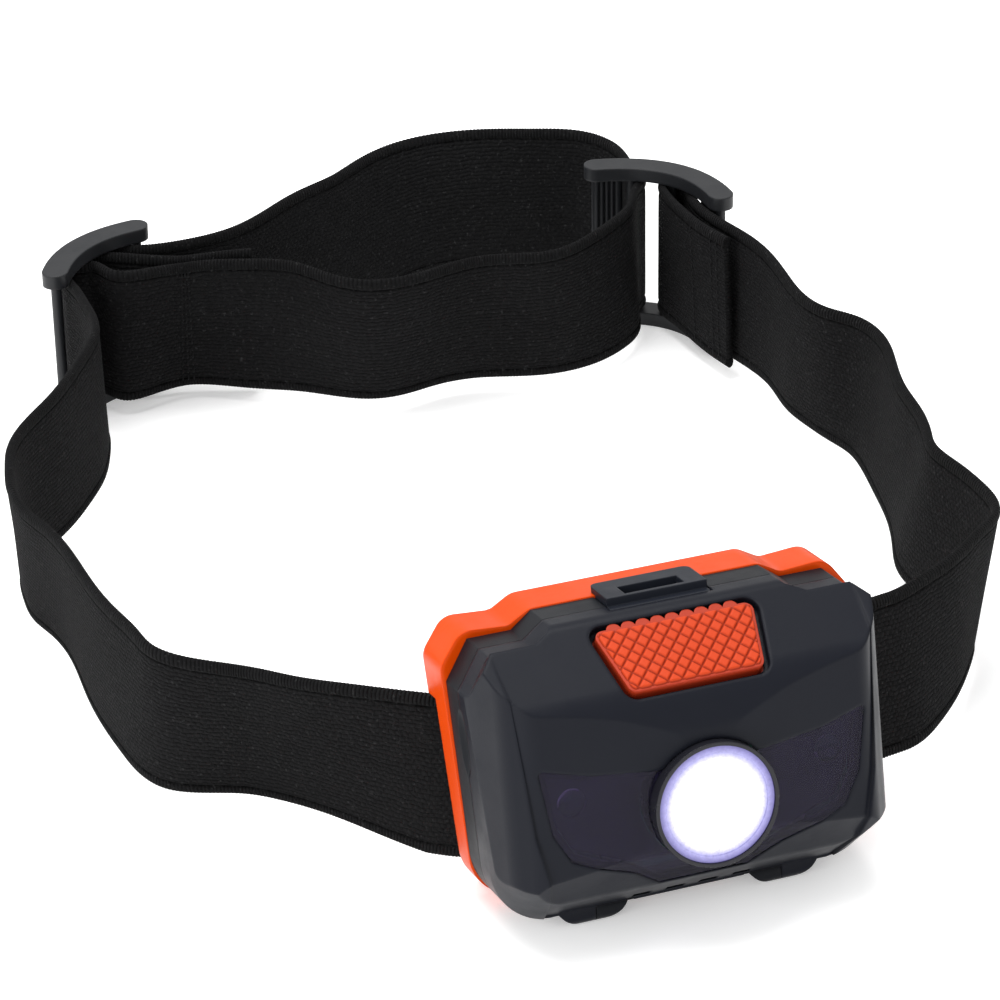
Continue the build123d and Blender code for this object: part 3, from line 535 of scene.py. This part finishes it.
def button_face():
    """A grid over the button's rounded outline, raised in diamonds and sunk into the button at its rim."""
    across, rows = 190, 90
    v = np.linspace(-0.5, 0.5, rows)[:, None] * BUTTON_LENGTH
    half = (BUTTON_FOOT + (BUTTON_TOP - BUTTON_FOOT) * (v / BUTTON_LENGTH + 0.5)) / 2
    past = np.clip(np.abs(v) - (BUTTON_LENGTH / 2 - BUTTON_CORNER), 0, BUTTON_CORNER)
    half = half - BUTTON_CORNER + np.sqrt(BUTTON_CORNER**2 - past**2)
    u = np.linspace(-1, 1, across)[None, :] * half
    v = v + 0 * u
    first, second = u / DIAMOND_WIDE + v / DIAMOND_HIGH, u / DIAMOND_WIDE - v / DIAMOND_HIGH
    edge = np.maximum(np.abs(first % 1 - 0.5), np.abs(second % 1 - 0.5)) * 2
    inside = np.minimum(half - np.abs(u), BUTTON_LENGTH / 2 - np.abs(v))
    height = GROOVE_FLOOR + DIAMOND_RISE * smooth(1 - edge, 0.02, 0.30)
    height = (height + FACE_SINK) * smooth(inside, 0.0, 0.45) - FACE_SINK
    offset = u[..., None] * np.array([1.0, 0, 0]) + v[..., None] * SLOPE_UP + height[..., None] * SLOPE_OUT
    points = BUTTON + offset * MM
    faces = []
    for i in range(rows - 1):
        for k in range(across - 1):
            n = i * across + k
            faces.append((n, n + 1, n + across + 1, n + across))
    material = moulded("button_diamonds", LIT_BUTTON_ORANGE, 0.50, grain=0.3, grain_depth=0.02, edge=0.15,
                       light=1.2, shine=0.15, shaded_grooves=True)
    obj = new_mesh("button_relief", points.reshape(-1, 3), faces, material, "button")
    layer = obj.data.attributes.new("Height", "FLOAT", "POINT")
    raised = np.clip(height / (DIAMOND_RISE + GROOVE_FLOOR), 0, 1)
    layer.data.foreach_set("value", raised.astype(np.float32).ravel())


button_face()


# Sewing: each stitch is a short round thread that dips into the webbing at both ends.

STITCH_LENGTH, STITCH_GAP, THREAD = 1.5, 0.08, 0.13
STITCH_SINK, STITCH_ARCH = 0.52, 0.26
ROW_LOW, ROW_HIGH = 1.2, STRAP_WIDTH - 1.2
SIDES, STATIONS = 6, 6


def stitch(n, start, finish):
    """The rings of one stitch's thread, from start to finish up the strap at its point n."""
    points = []
    for step in range(STATIONS):
        share = step / (STATIONS - 1)
        rise = STITCH_SINK + STITCH_ARCH * math.sin(math.pi * share)
        v = start + (finish - start) * share
        for side in range(SIDES):
            a = side * 2 * math.pi / SIDES
            place = strap_point(n, v, rise + THREAD * math.sin(a))
            points.append(place + np.array((*along[n], 0)) * THREAD * math.cos(a) * MM)
    return points


def sew(name, rows):
    """Rows of stitches across the strap's outer side, at the given points along it, as one piece."""
    points, faces = [], []
    count = int((ROW_HIGH - ROW_LOW) / STITCH_LENGTH)
    pitch = (ROW_HIGH - ROW_LOW) / count
    for n in rows:
        for k in range(count):
            first = len(points)
            points += stitch(n, ROW_LOW + pitch * (k + STITCH_GAP), ROW_LOW + pitch * (k + 1 - STITCH_GAP))
            for ring in range(first, len(points) - SIDES, SIDES):
                for side in range(SIDES):
                    a, b = ring + side, ring + (side + 1) % SIDES
                    faces.append((a, b, b + SIDES, a + SIDES))
            faces.append(tuple(first + side for side in reversed(range(SIDES))))
            faces.append(tuple(len(points) - SIDES + side for side in range(SIDES)))
    new_mesh(name, points, faces, thread(), "strap")


def strap_index(x, y, direction):
    """The index nearest a place in plan, where the strap runs the given way in X."""
    distance = np.hypot(line[:, 0] - x, line[:, 1] - y) + 1000 * (along[:, 0] * direction < 0)
    return int(np.argmin(distance))


tack = strap_index(-22, 152.2, 1)
flap_end = len(run) - 1
sew("slider_tack", [tack - 4, tack, tack + 4])
sew("flap_tack", [flap_end - 8, flap_end - 14, flap_end - 36])


# Camera, floor and light

CAMERA_PLACE = Vector((-0.190782, -0.550728, 0.33537))
AZIMUTH, ELEVATION, ROLL = math.radians(19.548), math.radians(28.912), math.radians(-1.039)

camera_data = bpy.data.cameras.new("camera")
camera_data.lens = 152.035
camera_data.sensor_width = 36.0
camera_data.clip_end = 20.0
camera = bpy.data.objects.new("camera", camera_data)
bpy.context.collection.objects.link(camera)
level = Vector((math.sin(AZIMUTH), math.cos(AZIMUTH), 0)) * math.cos(ELEVATION)
ahead = level - Vector((0, 0, math.sin(ELEVATION)))
right = Vector((math.cos(AZIMUTH), -math.sin(AZIMUTH), 0))
up = right.cross(ahead)
right, up = right * math.cos(ROLL) + up * math.sin(ROLL), up * math.cos(ROLL) - right * math.sin(ROLL)
turn = Matrix((right, up, -ahead)).transposed().to_4x4()
camera.matrix_world = Matrix.Translation(CAMERA_PLACE) @ turn
bpy.context.scene.camera = camera

floor_shader = Shader("floor_white")
floor_grain = floor_shader.noise(900.0, 3.0)
floor_shade = floor_shader.mix(floor_grain, (0.90, 0.90, 0.90), (0.92, 0.92, 0.92))
floor_material = floor_shader.set(Base_Color=floor_shade, Roughness=0.8, Specular_IOR_Level=0.2,
                                  Emission_Color=(1, 1, 1), Emission_Strength=0.32)
FLOOR_HALF = 6
floor_corners = [(x * FLOOR_HALF, y * FLOOR_HALF, 0) for x, y in ((-1, -1), (1, -1), (1, 1), (-1, 1))]
floor_mesh = bpy.data.meshes.new("floor")
floor_mesh.from_pydata(floor_corners, [], [(0, 1, 2, 3)])
floor = bpy.data.objects.new("floor", floor_mesh)
bpy.context.collection.objects.link(floor)
floor_mesh.materials.append(floor_material)

world = bpy.data.worlds.new("studio")
bpy.context.scene.world = world
world.use_nodes = True
background = world.node_tree.nodes["Background"]
background.inputs["Color"].default_value = (1, 1, 1, 1)
background.inputs["Strength"].default_value = 0.85


def softbox(name, place, target, size, power):
    data = bpy.data.lights.new(name, "AREA")
    data.shape = "RECTANGLE"
    data.size, data.size_y = size
    data.energy = power
    obj = bpy.data.objects.new(name, data)
    bpy.context.collection.objects.link(obj)
    obj.location = place
    obj.rotation_mode = "QUATERNION"
    obj.rotation_quaternion = (Vector(target) - Vector(place)).to_track_quat("-Z", "Y")


softbox("overhead", (-0.1, 0.15, 0.9), (0, 0, 0), (0.8, 0.6), 9)
softbox("left", (-0.8, -0.5, 0.5), (0, -0.05, 0.02), (0.5, 0.5), 4)
bpy.context.scene.view_settings.view_transform = "Standard"
